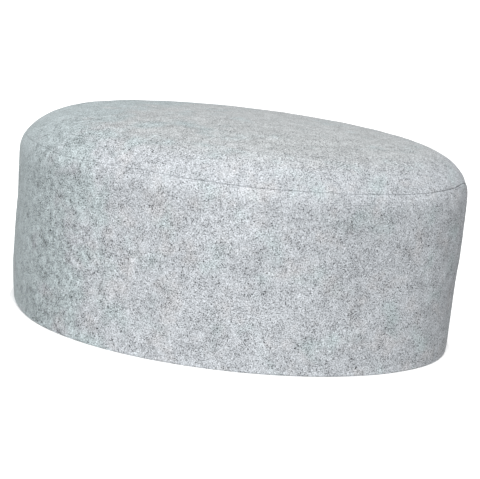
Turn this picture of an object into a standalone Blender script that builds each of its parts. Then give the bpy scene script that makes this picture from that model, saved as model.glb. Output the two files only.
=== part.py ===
# Kufi cap of plain wool felt: a tall side band and a softly domed oval crown.
# Metres, +Z up. The origin is the middle of the oval rim, on the plane that the rim rests on.
# +X points to the wearer's forehead, where the oval is a little narrower, and +Y to the left.

import math
from collections import namedtuple

import bpy
import bmesh
from mathutils import Vector

# The oval, on the outside where the wall turns into the shoulder
HALF_LENGTH = 0.104
HALF_WIDTH = 0.0853
# Share by which the oval is narrower at the forehead, and wider at the back of the head
FOREHEAD_TAPER = 0.0625

# Heights above the rim, and how far the rounded shoulder reaches up and in
SHOULDER_START = 0.0707
SEAM_HEIGHT = 0.0780
SHOULDER_RISE = 0.0198
SHOULDER_REACH = 0.0312
# The shoulder turns this far from upright, and the dome carries on at the same slope
SHOULDER_TURN = math.radians(80)

# The felt, and its turned edges
FELT = 0.002
FOLD_GAP = 0.0003
SEAM_GAP = 0.0003
HEM_HEIGHT = 0.020
RIM_ROUND = 0.0012
SEAM_ROUND = 0.0007

# The wall's outer side: share of the height to the shoulder, and how far it stands out there
Section = namedtuple("Section", "share out")
WALL = (
    Section(0.00, -0.00100),
    Section(0.16, -0.00055),
    Section(0.34, -0.00020),
    Section(0.55, 0.00000),
    Section(0.78, 0.00010),
    Section(1.00, 0.00000),
)

# How the mesh is divided: round the oval, up the shoulder above its allowance, over the dome
STEPS_ROUND = 72
SHOULDER_STEPS = 4
DOME_RINGS = 4
CORNER_STEPS = 3

# Depths below the felt's outer face: its own back, then a turned edge that lies behind it
BACK = FELT
EDGE_NEAR = FELT + FOLD_GAP
EDGE_FAR = 2 * FELT + FOLD_GAP

# A place on the outer face: its reach from the axis and height, and the way into the felt
Station = namedtuple("Station", "place inward")
# A corner of a cut through the felt, and the radius that rounds it
Corner = namedtuple("Corner", "place radius")

SEAM_TURN = math.asin((SEAM_HEIGHT - SHOULDER_START) / SHOULDER_RISE)
# Turning by this much covers one thickness of felt beside the seam
FELT_TURN = FELT / math.hypot(SHOULDER_REACH * math.sin(SEAM_TURN), SHOULDER_RISE * math.cos(SEAM_TURN))


def clear_scene():
    for thing in list(bpy.data.objects):
        bpy.data.objects.remove(thing, do_unlink=True)


def wall(height):
    """Station on the wall, between the two sections that the height lies between."""
    share = height / SHOULDER_START
    for low, high in zip(WALL, WALL[1:]):
        if share <= high.share:
            break
    along = (share - low.share) / (high.share - low.share)
    out = low.out + along * (high.out - low.out)
    return Station(Vector((HALF_LENGTH + out, height)), Vector((-1, 0)))


def shoulder(turn):
    """Station on the shoulder, a quarter of an ellipse, at this turn from upright."""
    reach = HALF_LENGTH - SHOULDER_REACH * (1 - math.cos(turn))
    height = SHOULDER_START + SHOULDER_RISE * math.sin(turn)
    inward = Vector((-SHOULDER_RISE * math.cos(turn), -SHOULDER_REACH * math.sin(turn)))
    return Station(Vector((reach, height)), inward.normalized())


def dome(share):
    """Station on the dome, at this share of the way out from the middle to the shoulder."""
    edge = shoulder(SHOULDER_TURN)
    slope = edge.inward.x / edge.inward.y
    reach = edge.place.x * share
    height = edge.place.y + slope * edge.place.x * (1 - share * share) / 2
    inward = Vector((-slope * share, -1))
    return Station(Vector((reach, height)), inward.normalized())


def beside_seam(side):
    """Station at the seam, moved half the seam's gap up into the crown (1) or down into the band (-1)."""
    seam = shoulder(SEAM_TURN)
    up_the_skin = Vector((seam.inward.y, -seam.inward.x))
    return Station(seam.place + up_the_skin * side * SEAM_GAP / 2, seam.inward)


def layer(stations, depth):
    """Unrounded corners at one depth below the stations."""
    return [Corner(station.place + station.inward * depth, 0) for station in stations]


def rounded(corners):
    """Places along the cut, with an arc for each corner that has a radius."""
    places = []
    count = len(corners)
    for index, corner in enumerate(corners):
        if not corner.radius:
            places.append(corner.place)
            continue
        back = (corners[index - 1].place - corner.place).normalized()
        ahead = (corners[(index + 1) % count].place - corner.place).normalized()
        half_angle = back.angle(ahead) / 2
        start = corner.place + back * corner.radius / math.tan(half_angle)
        centre = corner.place + (back + ahead).normalized() * corner.radius / math.sin(half_angle)
        end = corner.place + ahead * corner.radius / math.tan(half_angle)
        for step in range(CORNER_STEPS + 1):
            spoke = (start - centre).slerp(end - centre, step / CORNER_STEPS)
            places.append(centre + spoke.normalized() * corner.radius)
    return places


def band_cut():
    """Closed cut through the side band: outer face, rim, hem, back and seam allowance."""
    hem_heights = [section.share * SHOULDER_START for section in WALL]
    hem_heights = [height for height in hem_heights if FELT < height < HEM_HEIGHT]
    wall_heights = [section.share * SHOULDER_START for section in WALL[1:-1]]
    seam = beside_seam(-1)
    fold = shoulder(SEAM_TURN - FELT_TURN)
    allowance = [shoulder(0), shoulder((SEAM_TURN - FELT_TURN) / 2), fold]

    corners = [Corner(seam.place, SEAM_ROUND)]
    corners += layer([fold, allowance[1], allowance[0]], 0)
    corners += layer([wall(height) for height in reversed(wall_heights)], 0)
    rim = wall(0)
    corners.append(Corner(rim.place, RIM_ROUND))
    corners.append(Corner(rim.place + rim.inward * EDGE_FAR, RIM_ROUND))
    hem = [wall(height) for height in hem_heights] + [wall(HEM_HEIGHT)]
    corners += layer(hem, EDGE_FAR)
    corners += layer(reversed(hem), EDGE_NEAR)
    corners += layer([wall(FELT)], EDGE_NEAR)
    corners += layer([wall(FELT)], BACK)
    corners += layer([wall(height) for height in wall_heights], BACK)
    corners += layer(allowance, BACK)
    corners += layer(reversed(allowance), EDGE_NEAR)
    corners += layer(allowance, EDGE_FAR)
    corners.append(Corner(seam.place + seam.inward * EDGE_FAR, SEAM_ROUND))
    return rounded(corners)


def crown_cut():
    """Cut through half the crown, from the middle of its outer face round to the middle of its back."""
    seam = beside_seam(1)
    fold = shoulder(SEAM_TURN + FELT_TURN)
    allowance_end = 2 * SEAM_TURN
    allowance = [fold, shoulder((SEAM_TURN + FELT_TURN + allowance_end) / 2), shoulder(allowance_end)]
    span = SHOULDER_TURN - allowance_end
    above = [shoulder(allowance_end + span * (step + 1) / SHOULDER_STEPS) for step in range(SHOULDER_STEPS)]
    above += [dome(1 - (ring + 1) / DOME_RINGS) for ring in range(DOME_RINGS)]

    corners = layer(reversed(above), 0)
    corners += layer(reversed(allowance), 0)
    corners.append(Corner(seam.place, SEAM_ROUND))
    corners.append(Corner(seam.place + seam.inward * EDGE_FAR, SEAM_ROUND))
    corners += layer(allowance, EDGE_FAR)
    corners += layer(reversed(allowance), EDGE_NEAR)
    corners += layer(allowance, BACK)
    corners += layer(above, BACK)
    return rounded(corners)


def press_to_oval(mesh):
    """Turns rings into ovals: as long as they were, narrower by the same amount all round the
    cap, and tapered towards the forehead. Inside the shoulder the ovals keep one proportion."""
    shoulder_edge = shoulder(SHOULDER_TURN).place.x
    for vertex in mesh.vertices:
        reach = math.hypot(vertex.co.x, vertex.co.y)
        if reach == 0:
            continue
        narrowed = 1 - (HALF_LENGTH - HALF_WIDTH) / max(reach, shoulder_edge)
        tapered = 1 - FOREHEAD_TAPER * vertex.co.x / reach
        vertex.co.y *= narrowed * tapered


def turned_piece(name, places, closed, material, collection):
    """A piece of felt, from a cut through it that is turned round the axis and pressed oval."""
    edges = [(index, index + 1) for index in range(len(places) - 1)]
    if closed:
        edges.append((len(places) - 1, 0))
    profile = bpy.data.meshes.new(name + "_profile")
    profile.from_pydata([(place.x, 0, place.y) for place in places], edges, [])
    turned = bpy.data.objects.new(name + "_turned", profile)
    collection.objects.link(turned)
    screw = turned.modifiers.new("Turn", "SCREW")
    screw.steps = STEPS_ROUND
    screw.render_steps = STEPS_ROUND
    screw.use_merge_vertices = True
    screw.merge_threshold = 0.00001

    graph = bpy.context.evaluated_depsgraph_get()
    mesh = bpy.data.meshes.new_from_object(turned.evaluated_get(graph))
    mesh.name = name
    bpy.data.objects.remove(turned, do_unlink=True)
    bpy.data.meshes.remove(profile)
    press_to_oval(mesh)
    face_outwards(mesh)
    mesh.shade_smooth()
    mesh.set_sharp_from_angle(angle=math.radians(50))
    mesh.materials.clear()
    mesh.materials.append(material)
    piece = bpy.data.objects.new(name, mesh)
    collection.objects.link(piece)
    return piece


def face_outwards(mesh):
    shell = bmesh.new()
    shell.from_mesh(mesh)
    bmesh.ops.remove_doubles(shell, verts=shell.verts, dist=0.00001)
    bmesh.ops.recalc_face_normals(shell, faces=shell.faces)
    shell.to_mesh(mesh)
    shell.free()


def felt(name, colour):
    material = bpy.data.materials.new(name)
    material.use_nodes = True
    surface = material.node_tree.nodes["Principled BSDF"]
    surface.inputs["Base Color"].default_value = (*colour, 1)
    surface.inputs["Roughness"].default_value = 0.95
    surface.inputs["Metallic"].default_value = 0
    return material


def build():
    clear_scene()
    cap = bpy.data.collections.new("kufi_cap")
    bpy.context.scene.collection.children.link(cap)
    turned_piece("side_band", band_cut(), True, felt("band_felt", (0.50, 0.52, 0.54)), cap)
    turned_piece("crown_top", crown_cut(), False, felt("crown_felt", (0.52, 0.54, 0.55)), cap)


build()
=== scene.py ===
# Plain grey felt kufi cap: the looks of its crown and side band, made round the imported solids
import bpy
import bmesh
import math
from mathutils import Matrix, Vector


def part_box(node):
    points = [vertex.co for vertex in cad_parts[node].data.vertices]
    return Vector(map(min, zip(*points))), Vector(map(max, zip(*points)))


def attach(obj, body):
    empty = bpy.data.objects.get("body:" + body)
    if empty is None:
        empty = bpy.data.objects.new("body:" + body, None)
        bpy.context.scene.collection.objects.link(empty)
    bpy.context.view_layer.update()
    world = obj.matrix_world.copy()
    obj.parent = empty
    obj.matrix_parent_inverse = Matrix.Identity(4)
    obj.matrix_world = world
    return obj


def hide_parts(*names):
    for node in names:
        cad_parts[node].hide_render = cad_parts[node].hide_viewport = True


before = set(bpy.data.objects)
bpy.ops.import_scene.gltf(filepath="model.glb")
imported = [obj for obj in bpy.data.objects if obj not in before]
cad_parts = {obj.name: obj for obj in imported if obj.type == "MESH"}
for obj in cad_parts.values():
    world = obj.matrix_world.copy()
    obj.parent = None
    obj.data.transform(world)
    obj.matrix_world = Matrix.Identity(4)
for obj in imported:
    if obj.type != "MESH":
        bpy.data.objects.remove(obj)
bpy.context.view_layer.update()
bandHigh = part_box("side_band")[1]
print("cap: frame loaded")

capShape = {                                  # metres, as the solids are
    "halfLength": bandHigh.x - 0.0001,        # the wall bulges 0.1 mm past the shoulder's start
    "narrowing": 0.0187,                      # each half of the oval is this much less wide than long
    "foreheadTaper": 0.0625,                  # share by which the oval is narrower at the forehead
    "shoulderStart": 0.0707,
    "seamHeight": 0.0780,
    "shoulderRise": 0.0198,
    "shoulderReach": 0.0312,
    "shoulderTurn": math.radians(80),         # the dome carries on at the slope found here
    "wall": ((0, -0.0010), (0.16, -0.00055), (0.34, -0.0002), (0.55, 0), (0.78, 0.0001), (1, 0)),
    "felt": 0.0020,
    "foldGap": 0.0003,                        # between the felt and its own turned edge
    "hemHeight": 0.020,
    "columns": 512,                           # faces round the oval
    "row": 0.00115,                           # height of one row of faces on the outer side
    "mergeDistance": 0.000005,
}


def wallSide(height):  # place and inward direction on the wall's outer side
    share = height / capShape["shoulderStart"]
    for (lowShare, lowOut), (highShare, highOut) in zip(capShape["wall"], capShape["wall"][1:]):
        if share <= highShare:
            break
    along = (share - lowShare) / (highShare - lowShare)
    out = lowOut + (highOut - lowOut) * along
    return Vector((capShape["halfLength"] + out, height)), Vector((-1, 0))


def shoulderSide(turn):  # place and inward direction on the shoulder, turned this far from upright
    reach = capShape["halfLength"] - capShape["shoulderReach"] * (1 - math.cos(turn))
    height = capShape["shoulderStart"] + capShape["shoulderRise"] * math.sin(turn)
    inward = Vector((-capShape["shoulderRise"] * math.cos(turn), -capShape["shoulderReach"] * math.sin(turn)))
    return Vector((reach, height)), inward.normalized()


def shoulderSpeed(turn):  # metres of skin for each radian of turn
    return math.hypot(capShape["shoulderReach"] * math.sin(turn), capShape["shoulderRise"] * math.cos(turn))


seamTurn = math.asin((capShape["seamHeight"] - capShape["shoulderStart"]) / capShape["shoulderRise"])
domeEdge = shoulderSide(capShape["shoulderTurn"])[0]


def ovalOf(reach):  # half length and half width of the ring at this reach
    if reach >= domeEdge.x:
        return reach, reach - capShape["narrowing"]
    return reach, reach * (domeEdge.x - capShape["narrowing"]) / domeEdge.x


def outwardAt(co, wide, deep):  # level, and square to the oval of this half length and half width
    return Vector((co.x / wide ** 2, co.y / deep ** 2, 0)).normalized()


def below(station, depth):
    return station[0] + station[1] * depth


def spread(first, last, steps):  # values from the first to the last, both included
    return [first + (last - first) * step / steps for step in range(steps + 1)]


def roundCorner(before, corner, after, radius, steps):
    back = (before - corner).normalized()
    ahead = (after - corner).normalized()
    halfAngle = back.angle(ahead) / 2
    middle = corner + (back + ahead).normalized() * radius / math.sin(halfAngle)
    firstSpoke = corner + back * radius / math.tan(halfAngle) - middle
    lastSpoke = corner + ahead * radius / math.tan(halfAngle) - middle
    spokes = [firstSpoke.slerp(lastSpoke, share).normalized() for share in spread(0, 1, steps)]
    return [middle + spoke * radius for spoke in spokes]


def startPiece():  # everything deselected, so that the operators meet only the new piece
    if bpy.context.mode != "OBJECT":
        bpy.ops.object.mode_set(mode="OBJECT")
    bpy.ops.object.select_all(action="DESELECT")


def sweepRings(name, rings):  # an oval circle, drawn out ring by ring through the given places
    startPiece()
    first = rings[0]
    bpy.ops.mesh.primitive_circle_add(vertices=capShape["columns"], radius=1, location=(0, 0, first.y))
    piece = bpy.context.active_object
    piece.name = name
    piece.data.name = name
    wide, deep = ovalOf(first.x)
    bpy.ops.transform.resize(value=(wide, deep, 1))
    bpy.ops.object.transform_apply(location=True, rotation=True, scale=True)
    bpy.ops.object.mode_set(mode="EDIT")
    bpy.ops.mesh.select_all(action="SELECT")
    height = first.y
    for place in rings[1:]:
        newWide, newDeep = ovalOf(place.x)
        bpy.ops.mesh.extrude_edges_move(TRANSFORM_OT_translate={"value": (0, 0, place.y - height)})
        bpy.ops.transform.resize(value=(newWide / wide, newDeep / deep, 1), center_override=(0, 0, place.y))
        wide, deep, height = newWide, newDeep, place.y
    return piece


def selectVerts(piece, chosen):  # edit mode: selects the vertices that the test picks
    bpy.ops.mesh.select_mode(type="VERT")
    shape = bmesh.from_edit_mesh(piece.data)
    for vert in shape.verts:
        vert.select_set(chosen(vert))
    shape.select_flush_mode()
    bmesh.update_edit_mesh(piece.data)


def useModifier(piece, kind, **values):  # adds a modifier, sets it and applies it
    modifier = piece.modifiers.new(kind.title(), kind)
    for key, value in values.items():
        setattr(modifier, key, value)
    bpy.context.view_layer.objects.active = piece
    bpy.ops.object.modifier_apply(modifier=modifier.name)


def faceOut(piece):
    bpy.ops.object.mode_set(mode="EDIT")
    bpy.ops.mesh.select_all(action="SELECT")
    bpy.ops.mesh.remove_doubles(threshold=capShape["mergeDistance"])
    bpy.ops.mesh.normals_make_consistent(inside=False)
    bpy.ops.object.mode_set(mode="OBJECT")


def taperToForehead(piece):  # narrows the oval towards +X and widens it towards -X
    low = min(vert.co.x for vert in piece.data.vertices)
    high = max(vert.co.x for vert in piece.data.vertices)
    factor = -capShape["foreheadTaper"] * (high - low) / capShape["halfLength"]
    useModifier(piece, "SIMPLE_DEFORM", deform_method="TAPER", deform_axis="X", lock_z=True, factor=factor)


seamShape = {
    "round": 0.00028,                         # of each piece's turned edge, where the two meet
    "gap": 0.00006,
    "steps": 3,
    "innerSteps": 2,                          # at the hidden corner of the turned edge
    "rows": (0.0005, 0.0009, 0.0014, 0.0020),   # rows of faces beside the seam, by distance
    "allowanceRows": 3,
    "reach": 0.008,                           # height above and below the seam that sways with it
    "swayEnd": 2.5,                           # beyond this many reaches nothing sways
    "steepest": 0.98,                         # sine of the shoulder's turn, where the sway still slides
    "edgeReach": 1.3,                         # the edges open within this many rounds of the corner
    "ripple": ((0.00012, 7, 1), (0.00008, 17, 0)),   # height, waves round the oval, start
    "sway": ((0, 0.0003), (9, -0.0012), (30, -0.0006), (60, 0), (210, 0), (226, 0.0004), (237, -0.00045),
             (250, 0.00055), (262, 0.0010), (275, 0.0005), (287, 0.0002), (310, 0), (322, -0.0001),
             (334, 0.0002), (345, 0.0003), (360, 0.0003)),   # by degrees round the oval, metres up
    "open": ((0, 1.4), (9, 0.5), (30, 0.8), (90, 0.8), (180, 0.6), (200, 0.2), (222, 0.25), (230, 0.6),
             (240, 0.4), (262, 0.6), (276, 1.2), (288, 1.4), (298, 0.9), (306, 0.55), (322, 0.6),
             (334, 0.9), (346, 1.4), (355, 1.8), (360, 1.4)),   # how far the edges part
    "groove": {"depth": 0.00013, "spread": 0.0011},
}


def seamEdge(side):  # outer corner of the crown's (1) or the band's (-1) turned edge, and the way in
    seam, inward = shoulderSide(seamTurn)
    return seam + Vector((inward.y, -inward.x)) * side * seamShape["gap"] / 2, inward


def plainAngle(co):  # degrees round the oval from the forehead, as if it were a circle
    wide, deep = ovalOf(capShape["halfLength"])
    return math.degrees(math.atan2(co.y / deep, co.x / wide)) % 360


def along(table, angle):  # the table's value at this angle, eased between its rows
    for (low, lowValue), (high, highValue) in zip(table, table[1:]):
        if angle <= high:
            break
    share = (angle - low) / (high - low)
    share = share * share * (3 - 2 * share)
    return lowValue + (highValue - lowValue) * share


def swayAt(angle):  # how far the hand-guided seam runs above its even line
    turn = math.radians(angle)
    ripple = sum(height * math.sin(turn * waves + start) for height, waves, start in seamShape["ripple"])
    return along(seamShape["sway"], angle) + ripple


def pressSeam(piece, side):  # closes or opens the turned edges, and sinks the felt beside them
    level = shoulderSide(seamTurn)[0].y
    edge, inward = seamEdge(side)
    wide, deep = ovalOf(edge.x)
    groove = seamShape["groove"]
    for vert in piece.data.vertices:
        turn = math.atan2(vert.co.y / deep, vert.co.x / wide)
        share = along(seamShape["open"], math.degrees(turn) % 360)
        corner = Vector((wide * math.cos(turn), deep * math.sin(turn), edge.y))
        offset = vert.co - corner
        if offset.length < seamShape["edgeReach"] * seamShape["round"]:
            vert.co = corner + offset * share
        lift = (vert.co.z - level) / groove["spread"]
        sink = groove["depth"] * share * math.exp(-lift * lift)
        vert.co += outwardAt(vert.co, wide, deep) * inward.x * sink
        vert.co.z += inward.y * sink


def swaySeam(piece):  # slides the felt beside the seam up or down along the skin
    wide, deep = ovalOf(capShape["halfLength"])
    for vert in piece.data.vertices:
        lift = (vert.co.z - capShape["seamHeight"]) / seamShape["reach"]
        if abs(lift) > seamShape["swayEnd"]:
            continue
        rise = swayAt(plainAngle(vert.co)) * math.exp(-lift * lift)
        turned = (vert.co.z - capShape["shoulderStart"]) / capShape["shoulderRise"]
        turn = math.asin(min(max(turned, 0), seamShape["steepest"]))
        skin = Vector((-capShape["shoulderReach"] * math.sin(turn),
                       capShape["shoulderRise"] * math.cos(turn))).normalized()
        vert.co += outwardAt(vert.co, wide, deep) * skin.x * rise
        vert.co.z += skin.y * rise


handShape = (                                 # where the wall leaves the even oval, metres outwards
    {"angle": 350, "spread": 13, "height": 0.004, "reach": 0.013, "out": 0.0006},
    {"angle": 2, "spread": 14, "height": 0.026, "reach": 0.014, "out": -0.0005},
    {"angle": 2, "spread": 14, "height": 0.073, "reach": 0.005, "out": -0.0003},
    {"angle": 12, "spread": 20, "height": 0.087, "reach": 0.005, "out": 0.0009},
    {"angle": 52, "spread": 16, "height": 0.088, "reach": 0.005, "out": -0.0006},
    {"angle": 196, "spread": 22, "height": 0.050, "reach": 0.012, "out": -0.0005},
    {"angle": 200, "spread": 16, "height": 0.018, "reach": 0.006, "out": 0.0003},
    {"angle": 212, "spread": 13, "height": 0.000, "reach": 0.007, "out": -0.0008},
    {"angle": 188, "spread": 22, "height": 0.084, "reach": 0.005, "out": -0.0004},
)


def easeShape(piece):  # presses the hand-made swells and dips into the wall and the shoulder
    wide, deep = ovalOf(capShape["halfLength"])
    for vert in piece.data.vertices:
        angle = plainAngle(vert.co)
        outward = outwardAt(vert.co, wide, deep)
        for swell in handShape:
            turned = ((angle - swell["angle"] + 180) % 360 - 180) / swell["spread"]
            lift = (vert.co.z - swell["height"]) / swell["reach"]
            vert.co += outward * swell["out"] * math.exp(-turned * turned - lift * lift)


bandShape = {
    "rimRound": 0.0013,
    "rimSteps": 5,
    "hemStart": 0.004,                        # height of the lowest straight row inside the hem
    "hemRows": 5,
    "shoulderRows": 6,
    "backRows": 14,
    "joinWidth": 0.00045,                     # half the width of the dip at the join behind the head
    "joinDepth": 0.00045,
    "joinFrom": 0.0012,                       # height of the dip's lower end
    "joinBelowSeam": 0.0006,                  # how far below the seam it stops
    "joinArea": (-0.08, 0.004),               # only faces behind this x and within this y are cut
    "joinOnLine": 0.00001,                    # vertices this near the middle line sink into the dip
}


def bandRings():  # places down the outer side, round the rim, up the hem and the felt's back
    felt = capShape["felt"]
    near = felt + capShape["foldGap"]
    far = near + felt
    seamOut, inward = seamEdge(-1)
    seamIn = seamOut + inward * far
    foldTurn = seamTurn - felt / shoulderSpeed(seamTurn)

    outerTurns = [seamTurn - reach / shoulderSpeed(seamTurn) for reach in seamShape["rows"]]
    outerTurns += spread(outerTurns[-1], 0, bandShape["shoulderRows"])[1:]
    outer = [below(shoulderSide(turn), 0) for turn in outerTurns]
    rows = round((capShape["shoulderStart"] - 2 * bandShape["rimRound"]) / capShape["row"])
    heights = spread(capShape["shoulderStart"], 2 * bandShape["rimRound"], rows)[1:]
    outer += [below(wallSide(height), 0) for height in heights]
    rimOut = below(wallSide(0), 0)
    rimIn = below(wallSide(0), far)
    hemHeights = spread(bandShape["hemStart"], capShape["hemHeight"], bandShape["hemRows"])
    slitHeights = spread(capShape["hemHeight"], felt, bandShape["hemRows"])
    backHeights = spread(felt, capShape["shoulderStart"], bandShape["backRows"])
    hem = [below(wallSide(height), far) for height in hemHeights]
    slit = [below(wallSide(height), near) for height in slitHeights]
    back = [below(wallSide(height), felt) for height in backHeights]
    allowanceTurns = spread(0, foldTurn, seamShape["allowanceRows"])
    back += [below(shoulderSide(turn), felt) for turn in allowanceTurns[1:]]
    allowance = [below(shoulderSide(turn), near) for turn in reversed(allowanceTurns)]
    allowance += [below(shoulderSide(turn), far) for turn in allowanceTurns]

    steps = bandShape["rimSteps"]
    rings = roundCorner(seamIn, seamOut, outer[0], seamShape["round"], seamShape["steps"])
    rings += outer
    rings += roundCorner(outer[-1], rimOut, rimIn, bandShape["rimRound"], steps)
    rings += roundCorner(rimOut, rimIn, hem[0], bandShape["rimRound"], steps)
    rings += hem + slit + back + allowance
    rings += roundCorner(allowance[-1], seamIn, seamOut, seamShape["round"], seamShape["innerSteps"])
    return rings


def markJoin(band):  # the band's two ends meet behind the head, in a narrow dip up the outer side
    width, depth = bandShape["joinWidth"], bandShape["joinDepth"]
    outside = capShape["halfLength"] - capShape["felt"] / 2
    areaEnd, areaHalf = bandShape["joinArea"]

    def behind(vert):
        return vert.co.x < areaEnd and abs(vert.co.y) < areaHalf

    for offset in (-width, width):
        selectVerts(band, behind)
        bpy.ops.mesh.bisect(plane_co=(0, offset, 0), plane_no=(0, 1, 0))
    low, high = bandShape["joinFrom"], capShape["seamHeight"] - bandShape["joinBelowSeam"]

    def inDip(vert):
        skin = outside
        if vert.co.z > capShape["shoulderStart"]:
            turned = (vert.co.z - capShape["shoulderStart"]) / capShape["shoulderRise"]
            skin -= capShape["shoulderReach"] * (1 - math.sqrt(1 - turned * turned))
        return abs(vert.co.y) < bandShape["joinOnLine"] and low < vert.co.z < high and vert.co.x < -skin

    selectVerts(band, inDip)
    bpy.ops.transform.translate(value=(depth, 0, 0))


def makeBand():
    band = sweepRings("feltBand", bandRings())
    bpy.ops.mesh.select_all(action="DESELECT")
    bpy.ops.mesh.select_mode(type="EDGE")
    bpy.ops.mesh.select_non_manifold()
    bpy.ops.mesh.bridge_edge_loops()
    markJoin(band)
    bpy.ops.object.mode_set(mode="OBJECT")
    faceOut(band)
    pressSeam(band, -1)
    swaySeam(band)
    easeShape(band)
    taperToForehead(band)
    return band


crownShape = {
    "gridSpan": 128,                          # faces across the grid that fills the dome
    "shoulderRows": 24,
    "backRows": 8,
    "onRing": 0.0002,                         # vertices this near the ring's height belong to it
    "inGrid": 0.9999,                         # share of the ring's reach that counts as inside it
}


def crownRings():  # from the dome's edge down the outer side to the seam, and back up the underside
    felt = capShape["felt"]
    near = felt + capShape["foldGap"]
    far = near + felt
    seamOut, inward = seamEdge(1)
    seamIn = seamOut + inward * far
    foldTurn = seamTurn + felt / shoulderSpeed(seamTurn)

    nearTurns = [seamTurn + reach / shoulderSpeed(seamTurn) for reach in reversed(seamShape["rows"])]
    outerTurns = spread(capShape["shoulderTurn"], nearTurns[0], crownShape["shoulderRows"])[:-1] + nearTurns
    outer = [below(shoulderSide(turn), 0) for turn in outerTurns]
    allowanceTurns = spread(foldTurn, 2 * seamTurn, seamShape["allowanceRows"])
    allowance = [below(shoulderSide(turn), far) for turn in allowanceTurns]
    allowance += [below(shoulderSide(turn), near) for turn in reversed(allowanceTurns)]
    back = [below(shoulderSide(turn), felt) for turn in allowanceTurns]
    backTurns = spread(2 * seamTurn, capShape["shoulderTurn"], crownShape["backRows"])[1:]
    back += [below(shoulderSide(turn), felt) for turn in backTurns]

    rings = outer
    rings += roundCorner(outer[-1], seamOut, seamIn, seamShape["round"], seamShape["steps"])
    rings += roundCorner(seamOut, seamIn, allowance[0], seamShape["round"], seamShape["innerSteps"])
    return rings + allowance + back


def fillDome(crown, top):  # a grid over the open ring on the outer side, or on the underside
    edge, inward = shoulderSide(capShape["shoulderTurn"])
    ring = edge if top else edge + inward * capShape["felt"]
    wide, deep = ovalOf(ring.x)
    slope = inward.x / inward.y

    def onRing(vert):
        return vert.is_boundary and abs(vert.co.z - ring.y) < crownShape["onRing"]

    selectVerts(crown, onRing)
    bpy.ops.mesh.fill_grid(span=crownShape["gridSpan"])
    shape = bmesh.from_edit_mesh(crown.data)
    for vert in shape.verts:
        share = math.hypot(vert.co.x / wide, vert.co.y / deep)
        if vert.select and share < crownShape["inGrid"]:
            vert.co.z = ring.y + slope * ring.x * (1 - share * share) / 2
    bmesh.update_edit_mesh(crown.data)


def makeCrown():
    crown = sweepRings("feltCrown", crownRings())
    fillDome(crown, top=True)
    fillDome(crown, top=False)
    bpy.ops.object.mode_set(mode="OBJECT")
    faceOut(crown)
    pressSeam(crown, 1)
    swaySeam(crown)
    easeShape(crown)
    taperToForehead(crown)
    return crown


reliefShape = {                               # the felt's own unevenness, as real surface
    "lumps": {"size": 0.016, "depth": 0.0005},
    "nap": {"size": 0.0042, "depth": 0.00018},
}
reliefFade = {                                # it fades out beside the seam and above the rim
    "seam": 0.0015,
    "seamStart": 0.3,
    "rim": 0.004,
    "rimStart": 0.35,
}


def addRelief(piece):  # the same field on both pieces, so that it runs on across the seam
    group = piece.vertex_groups.new(name="relief")
    for vert in piece.data.vertices:
        level = capShape["seamHeight"] + swayAt(plainAngle(vert.co))
        besideSeam = abs(vert.co.z - level) / reliefFade["seam"] - reliefFade["seamStart"]
        aboveRim = vert.co.z / reliefFade["rim"] - reliefFade["rimStart"]
        group.add([vert.index], min(max(min(besideSeam, aboveRim), 0), 1), "REPLACE")
    for name, look in reliefShape.items():
        field = bpy.data.textures.new(piece.name + "_" + name, "CLOUDS")
        field.noise_scale = look["size"]
        field.noise_depth = 2
        useModifier(piece, "DISPLACE", texture=field, texture_coords="LOCAL", mid_level=0.5,
                    strength=look["depth"], vertex_group="relief")
        bpy.data.textures.remove(field)
    bpy.ops.object.select_all(action="DESELECT")
    piece.select_set(True)
    bpy.context.view_layer.objects.active = piece
    bpy.ops.object.shade_smooth()


def addNode(tree, kind, inputs=None, **settings):
    node = tree.nodes.new(kind)
    for key, value in settings.items():
        setattr(node, key, value)
    for key, value in (inputs or {}).items():
        if isinstance(value, bpy.types.NodeSocket):
            tree.links.new(value, node.inputs[key])
        else:
            node.inputs[key].default_value = value
    return node


def mathNode(tree, operation, first, second=0.0, third=0.0, clamp=False):
    inputs = {0: first, 1: second, 2: third}
    return addNode(tree, "ShaderNodeMath", inputs, operation=operation, use_clamp=clamp).outputs[0]


def moved(tree, coords, shift):
    return addNode(tree, "ShaderNodeMapping", {"Vector": coords, "Location": shift}).outputs["Vector"]


def noiseOf(tree, coords, size, detail=2.0, roughness=0.5, shift=(0, 0, 0), output="Fac"):
    values = {"Vector": moved(tree, coords, shift), "Scale": 1 / size}
    values.update({"Detail": detail, "Roughness": roughness})
    return addNode(tree, "ShaderNodeTexNoise", values).outputs[output]


def rampOf(tree, value, low, high):  # 0 below low, 1 above high, smooth between
    inputs = {"Value": value, "From Min": low, "From Max": high}
    node = addNode(tree, "ShaderNodeMapRange", inputs, interpolation_type="SMOOTHSTEP")
    return node.outputs["Result"]


def mixOf(tree, share, first, second):  # each colour is a socket or three numbers
    node = addNode(tree, "ShaderNodeMix", {0: share}, data_type="RGBA")
    for key, colour in (("A", first), ("B", second)):
        if isinstance(colour, bpy.types.NodeSocket):
            tree.links.new(colour, node.inputs[key])
        else:
            node.inputs[key].default_value = (*colour, 1)
    return node.outputs["Result"]


def warpOf(tree, coords, size, reach, shift):  # bends the field, so that round tufts come out curled
    bend = noiseOf(tree, coords, size, 1, 0.5, shift, "Color")
    centred = addNode(tree, "ShaderNodeVectorMath", {0: bend, 1: (0.5, 0.5, 0.5)}, operation="SUBTRACT")
    scaled = addNode(tree, "ShaderNodeVectorMath", {0: centred.outputs[0], "Scale": reach}, operation="SCALE")
    return addNode(tree, "ShaderNodeVectorMath", {0: coords, 1: scaled.outputs[0]}).outputs[0]


def tuftsOf(tree, coords, size, shift):  # a random number from 0 to 1 for each small tuft of fibre
    node = addNode(tree, "ShaderNodeTexVoronoi", {"Vector": moved(tree, coords, shift), "Scale": 1 / size})
    return addNode(tree, "ShaderNodeSeparateColor", {"Color": node.outputs["Color"]}).outputs["Red"]


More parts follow.
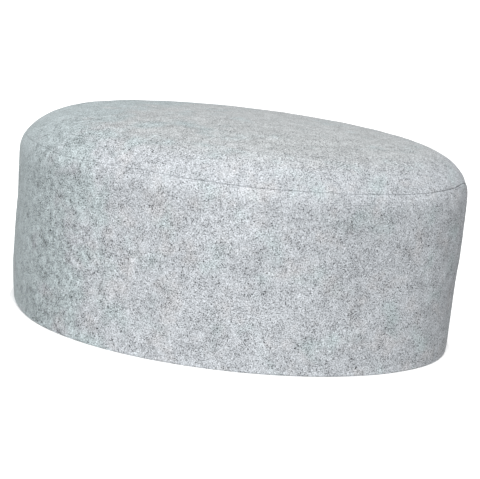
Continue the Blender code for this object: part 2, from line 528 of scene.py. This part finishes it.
def shadesOf(tree, value, steps):  # from a random number to a tone, by a table of places and tones
    node = addNode(tree, "ShaderNodeFloatCurve", {"Value": value})
    curve = node.mapping.curves[0]
    curve.points[0].location = steps[0]
    curve.points[1].location = steps[-1]
    for place, tone in steps[1:-1]:
        curve.points.new(place, tone)
    for point in curve.points:
        point.handle_type = "VECTOR"
    node.mapping.update()
    return node.outputs["Value"]


def productOf(tree, first, second):
    return mathNode(tree, "MULTIPLY", first, second)


def scaledOnto(tree, value, scale, start):  # start + value * scale
    return mathNode(tree, "MULTIPLY_ADD", value, scale, start)


def centredOf(tree, value):
    return mathNode(tree, "SUBTRACT", value, 0.5)


def fallOf(tree, value, low, high):  # 1 below low, 0 above high, smooth between
    return mathNode(tree, "SUBTRACT", 1.0, rampOf(tree, value, low, high))


feltLook = {
    "base": 0.446,                            # plain brightness of the wool, linear
    "cool": (0.953, 0.999, 1.051),            # tints of the wool, by patches
    "warm": (0.979, 0.997, 1.030),
    "green": (0.905, 1.020, 1.048),           # towards the back of the head
    "paintedLitTop": (0.995, 1.035, 1.050),            # painted light: a paler tint on the top
    "tuft": 0.00036,
    "curl": {"size": 0.0022, "reach": 0.0016},   # the bend that draws the tufts out
    "clump": {"size": 0.0055, "amount": 0.68},   # where dark or light tufts gather
    "coarse": {"tuft": 1.4, "curl": 0.6, "reach": 0.8, "share": 0.4},   # second layer, against the first
    "shades": ((0, 0.10), (0.07, 0.18), (0.16, 0.36), (0.35, 0.47), (0.70, 0.55), (0.88, 0.68), (1, 0.80)),
    "contrast": 1.55,                         # of the tufts
    "fleck": {"size": 0.00041, "amount": 1.72, "lessAtBack": 0.5},
    "fleckShades": ((0, 0), (0.28, 0.16), (0.50, 0.50), (0.72, 0.66), (1, 0.84)),
    "mottle": {"size": 0.007, "amount": 0.05},   # broad and faint, all over
    "blotch": {"size": 0.0030, "amount": 1.08, "least": 0.22, "lessAtBack": 0.7, "lessOnTop": 0.4},
    "warmPatch": {"size": 0.010, "ramp": (0.50, 0.72)},
    "greenPatch": {"size": 0.013, "ramp": (0.50, 0.80), "moreAtBack": 0.36},
    "bump": {"strength": 0.4, "distance": 0.00025},
    "surface": {"Roughness": 1.0, "Specular IOR Level": 0.1, "Sheen Weight": 0.07, "Sheen Roughness": 0.3},
}
feltAreas = {                                 # where the look changes on the cap, in metres
    "greener": (-0.078, -0.010),              # along x, from the back forwards
    "back": (-0.095, -0.058),
    "blotchy": (-0.060, 0.000),
    "front": (-0.050, 0.020),
    "nearSide": (-0.035, 0.005),              # along y
    "highWall": (0.055, 0.076),               # along z
    "top": (0.080, 0.087),
    "underTop": (0.082, 0.092),
    # height where the painted light on the top comes in
    "paintedLitTop": (0.083, 0.0925),
    "acrossTop": (-0.050, 0.010),             # along the slanting direction below, to the far side
}
acrossTop = {"x": -0.3, "y": 0.95}
contrastChange = {"back": -0.18, "front": -0.07, "highWall": -0.10, "top": 0.20, "farTop": -0.37}
paintedBackShade = {"amount": 0.15, "behind": 0.066, "reach": 0.040}   # painted shade round the back end, darkest this far behind the middle
paintedLightAndTonePatches = (                               # soft areas of painted light and shade, partly the wool's own uneven tone: place, radius, amount
    ((0.075, -0.060, 0.070), 0.050, -0.085),
    ((0.023, -0.082, 0.064), 0.022, 0.130),
    ((0.018, -0.058, 0.089), 0.030, 0.060),
    ((0.039, -0.077, 0.020), 0.018, 0.110),
    ((0.071, -0.060, 0.036), 0.016, -0.080),
    ((0.014, -0.084, 0.025), 0.018, 0.070),
    ((-0.022, -0.082, 0.072), 0.026, -0.070),
)


def tuftLayer(tree, bent, size, shift, clumped):  # the tones of one layer of tufts
    tufts = mathNode(tree, "ADD", tuftsOf(tree, bent, size, shift), clumped, clamp=True)
    return shadesOf(tree, tufts, feltLook["shades"])


def speckleOf(tree, coords):  # the felt's tufts and its finest flecks, each from 0 to 1
    curl, coarse, clump = feltLook["curl"], feltLook["coarse"], feltLook["clump"]
    clumps = noiseOf(tree, coords, clump["size"], 2, 0.55, (0.2, 0.9, 0.4))
    clumped = productOf(tree, centredOf(tree, clumps), clump["amount"])
    bent = warpOf(tree, coords, curl["size"], curl["reach"], (0.7, 0.2, 0.4))
    bentMore = warpOf(tree, coords, curl["size"] * coarse["curl"], curl["reach"] * coarse["reach"],
                      (3.7, 1.2, 5.4))
    small = tuftLayer(tree, bent, feltLook["tuft"], (0, 0, 0), clumped)
    large = tuftLayer(tree, bentMore, feltLook["tuft"] * coarse["tuft"], (0.4, 0.3, 0.8), clumped)
    tufts = scaledOnto(tree, large, coarse["share"], productOf(tree, small, 1 - coarse["share"]))
    flecks = noiseOf(tree, bent, feltLook["fleck"]["size"], 0, 0.5, (0.3, 0.1, 0.7))
    return tufts, shadesOf(tree, flecks, feltLook["fleckShades"])


def toneOf(tree, coords, place, tufts, flecks):  # lighter and darker wool, about 0
    fleck, blotch, mottle = feltLook["fleck"], feltLook["blotch"], feltLook["mottle"]
    nearSide = fallOf(tree, place["Y"], *feltAreas["nearSide"])
    atBack = productOf(tree, fallOf(tree, place["X"], *feltAreas["back"]), nearSide)
    onTop = rampOf(tree, place["Z"], *feltAreas["top"])

    tone = productOf(tree, centredOf(tree, tufts), feltLook["contrast"])
    sharpness = scaledOnto(tree, atBack, -fleck["lessAtBack"] * fleck["amount"], fleck["amount"])
    tone = scaledOnto(tree, centredOf(tree, flecks), sharpness, tone)

    blotchiness = productOf(tree, fallOf(tree, place["X"], *feltAreas["blotchy"]), nearSide)
    blotchiness = scaledOnto(tree, blotchiness, 1 - blotch["least"], blotch["least"])
    blotchiness = scaledOnto(tree, atBack, -blotch["lessAtBack"], blotchiness)
    blotchiness = productOf(tree, blotchiness, scaledOnto(tree, onTop, -blotch["lessOnTop"], 1.0))
    blotchiness = productOf(tree, blotchiness, blotch["amount"])
    blotches = noiseOf(tree, coords, blotch["size"], 1, 0.5, (5.1, 3.3, 0.9))
    tone = scaledOnto(tree, centredOf(tree, blotches), blotchiness, tone)
    mottles = noiseOf(tree, coords, mottle["size"], 3, 0.6)
    tone = scaledOnto(tree, centredOf(tree, mottles), mottle["amount"], tone)

    strength = scaledOnto(tree, atBack, contrastChange["back"], 1.0)
    front = rampOf(tree, place["X"], *feltAreas["front"])
    strength = scaledOnto(tree, front, contrastChange["front"], strength)
    highWall = rampOf(tree, place["Z"], *feltAreas["highWall"])
    strength = scaledOnto(tree, highWall, contrastChange["highWall"], strength)
    across = scaledOnto(tree, place["X"], acrossTop["x"], productOf(tree, place["Y"], acrossTop["y"]))
    farTop = rampOf(tree, across, *feltAreas["acrossTop"])
    plainer = scaledOnto(tree, farTop, contrastChange["farTop"], contrastChange["top"])
    return productOf(tree, tone, scaledOnto(tree, onTop, plainer, strength))


def paintedLightAndShadeOf(tree, coords, place):  # painted shade round the back, and soft patches of painted light and shade, about 1
    fromMiddle = mathNode(tree, "ABSOLUTE", mathNode(tree, "ADD", place["X"], paintedBackShade["behind"]))
    shade = fallOf(tree, fromMiddle, 0.0, paintedBackShade["reach"])
    # the painted shade fades out under the top
    shade = productOf(tree, shade, fallOf(tree, place["Z"], *feltAreas["underTop"]))
    shade = scaledOnto(tree, shade, -paintedBackShade["amount"], 1.0)
    # each patch adds painted light or painted shade, partly the wool's own tone
    for centre, radius, amount in paintedLightAndTonePatches:
        apart = addNode(tree, "ShaderNodeVectorMath", {0: coords, 1: centre}, operation="DISTANCE")
        outside = rampOf(tree, apart.outputs["Value"], 0.0, radius)
        shade = mathNode(tree, "ADD", shade, scaledOnto(tree, outside, -amount, amount))
    return shade


def tintOf(tree, coords, place):  # cool wool with warm and green patches, and a paler tint on the top that is painted light
    warm, green = feltLook["warmPatch"], feltLook["greenPatch"]
    warmth = rampOf(tree, noiseOf(tree, coords, warm["size"], 2, 0.5, (2.2, 6.1, 5.5)), *warm["ramp"])
    greenField = noiseOf(tree, coords, green["size"], 2, 0.5, (8.2, 1.1, 3.5))
    towardsBack = fallOf(tree, place["X"], *feltAreas["greener"])
    greenness = rampOf(tree, scaledOnto(tree, towardsBack, green["moreAtBack"], greenField), *green["ramp"])
    tint = mixOf(tree, warmth, feltLook["cool"], feltLook["warm"])
    tint = mixOf(tree, rampOf(tree, place["Z"], *feltAreas["paintedLitTop"]), tint, feltLook["paintedLitTop"])
    return mixOf(tree, greenness, tint, feltLook["green"])


def makeFelt(name):
    felt = bpy.data.materials.new(name)
    felt.use_nodes = True
    tree = felt.node_tree
    surface = tree.nodes["Principled BSDF"]
    coords = addNode(tree, "ShaderNodeTexCoord").outputs["Object"]
    place = addNode(tree, "ShaderNodeSeparateXYZ", {"Vector": coords}).outputs

    tufts, flecks = speckleOf(tree, coords)
    tone = toneOf(tree, coords, place, tufts, flecks)
    value = productOf(tree, mathNode(tree, "ADD", tone, 1.0), feltLook["base"])
    # the painted light and shade darken or lighten the wool's colour
    value = productOf(tree, value, paintedLightAndShadeOf(tree, coords, place))
    grey = addNode(tree, "ShaderNodeCombineColor", {"Red": value, "Green": value, "Blue": value})
    colour = addNode(tree, "ShaderNodeMix", {0: 1.0}, data_type="RGBA", blend_type="MULTIPLY")
    tree.links.new(tintOf(tree, coords, place), colour.inputs["A"])
    tree.links.new(grey.outputs["Color"], colour.inputs["B"])
    tree.links.new(colour.outputs["Result"], surface.inputs["Base Color"])

    height = mathNode(tree, "ADD", tufts, flecks)
    strength, distance = feltLook["bump"]["strength"], feltLook["bump"]["distance"]
    bump = addNode(tree, "ShaderNodeBump", {"Height": height, "Strength": strength, "Distance": distance})
    tree.links.new(bump.outputs["Normal"], surface.inputs["Normal"])
    for key, amount in feltLook["surface"].items():
        surface.inputs[key].default_value = amount
    return felt


def dress(piece, material, node):
    piece.data.materials.clear()
    piece.data.materials.append(material)
    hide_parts(node)
    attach(piece, "root")


band = makeBand()
addRelief(band)
dress(band, makeFelt("bandFelt"), "side_band")
print("cap: side band made,", len(band.data.polygons), "faces")
crown = makeCrown()
addRelief(crown)
dress(crown, makeFelt("crownFelt"), "crown_top")
print("cap: crown made,", len(crown.data.polygons), "faces")


cameraLook = {                                # the photo's view of the cap
    "azimuth": math.radians(17.54),
    "elevation": math.radians(13.0),
    "roll": math.radians(5.546),
    "distance": 0.6604,                       # from the cap's middle, along the view
    "middle": 0.039,                          # height of that middle
    "right": 0.00231,                         # how far the camera stands off that line
    "up": -0.00212,
    "lens": 106.54,
    "clipStart": 0.01,
}


def addCamera():
    turn, lift, roll = cameraLook["azimuth"], cameraLook["elevation"], cameraLook["roll"]
    right = Vector((math.cos(turn), math.sin(turn), 0))
    away = Vector((-math.sin(turn) * math.cos(lift), math.cos(turn) * math.cos(lift), -math.sin(lift)))
    up = right.cross(away)
    place = Vector((0, 0, cameraLook["middle"])) + right * cameraLook["right"] + up * cameraLook["up"]
    place -= away * cameraLook["distance"]
    across = right * math.cos(roll) + up * math.sin(roll)
    upright = up * math.cos(roll) - right * math.sin(roll)
    data = bpy.data.cameras.new("photoView")
    data.lens = cameraLook["lens"]
    data.sensor_fit = "HORIZONTAL"
    data.clip_start = cameraLook["clipStart"]
    camera = bpy.data.objects.new("photoView", data)
    bpy.context.scene.collection.objects.link(camera)
    axes = Matrix((across, upright, -away)).transposed()
    camera.matrix_world = Matrix.Translation(place) @ axes.to_4x4()
    bpy.context.scene.camera = camera


paperLook = {
    "size": 60,
    "white": (0.95, 0.95, 0.95, 1),
    "glow": 0.32,                             # the white ground glows a little, as a light table does
    "underRim": 0.00002,                      # height of the sheet that lights the rim
    "margin": 0.001,                          # how far that sheet reaches past the cap
    "corners": 96,
}
lightLook = {
    "sky": 0.42,
    "key": {"azimuth": 20, "elevation": 55, "angle": 30, "power": 2.54},
    "fill": {"azimuth": 0, "elevation": 15, "angle": 30, "power": 1.79},
}


def addSun(name, look):  # a soft light from far away, seen from the cap at these angles
    data = bpy.data.lights.new(name, "SUN")
    data.angle = math.radians(look["angle"])
    data.energy = look["power"]
    lamp = bpy.data.objects.new(name, data)
    bpy.context.scene.collection.objects.link(lamp)
    turn, lift = math.radians(look["azimuth"]), math.radians(look["elevation"])
    lamp.location = (math.sin(turn) * math.cos(lift), -math.cos(turn) * math.cos(lift), math.sin(lift))
    lamp.rotation_euler = (-lamp.location).to_track_quat("-Z", "Y").to_euler()


def addStudio():
    world = bpy.data.worlds.new("studio")
    world.use_nodes = True
    world.node_tree.nodes["Background"].inputs["Color"].default_value = (1, 1, 1, 1)
    world.node_tree.nodes["Background"].inputs["Strength"].default_value = lightLook["sky"]
    bpy.context.scene.world = world
    addSun("key", lightLook["key"])
    addSun("fill", lightLook["fill"])

    startPiece()
    bpy.ops.mesh.primitive_plane_add(size=paperLook["size"], location=(0, 0, 0))
    floor = bpy.context.active_object
    floor.name = "floor"
    paper = bpy.data.materials.new("whitePaper")
    paper.use_nodes = True
    surface = paper.node_tree.nodes["Principled BSDF"]
    surface.inputs["Base Color"].default_value = paperLook["white"]
    surface.inputs["Roughness"].default_value = 1.0
    surface.inputs["Specular IOR Level"].default_value = 0.0
    glow = paper.copy()
    glow.name = "litPaper"
    ground = glow.node_tree.nodes["Principled BSDF"]
    ground.inputs["Emission Color"].default_value = (1, 1, 1, 1)
    ground.inputs["Emission Strength"].default_value = paperLook["glow"]
    floor.data.materials.append(glow)
    floor.visible_diffuse = False             # the lit paper would wash out the shade under the sides

    startPiece()                              # the paper's light on the rim alone
    bpy.ops.mesh.primitive_circle_add(vertices=paperLook["corners"], radius=1, fill_type="NGON",
                                      location=(0, 0, paperLook["underRim"]))
    sheet = bpy.context.active_object
    sheet.name = "paperUnderRim"
    wide = capShape["halfLength"] + paperLook["margin"]
    bpy.ops.transform.resize(value=(wide, wide - capShape["narrowing"], 1))
    bpy.ops.object.transform_apply(location=True, rotation=True, scale=True)
    taperToForehead(sheet)
    sheet.data.materials.append(paper)
    bpy.context.scene.view_settings.view_transform = "Standard"


addCamera()
addStudio()
print("cap: camera, floor and light in place")
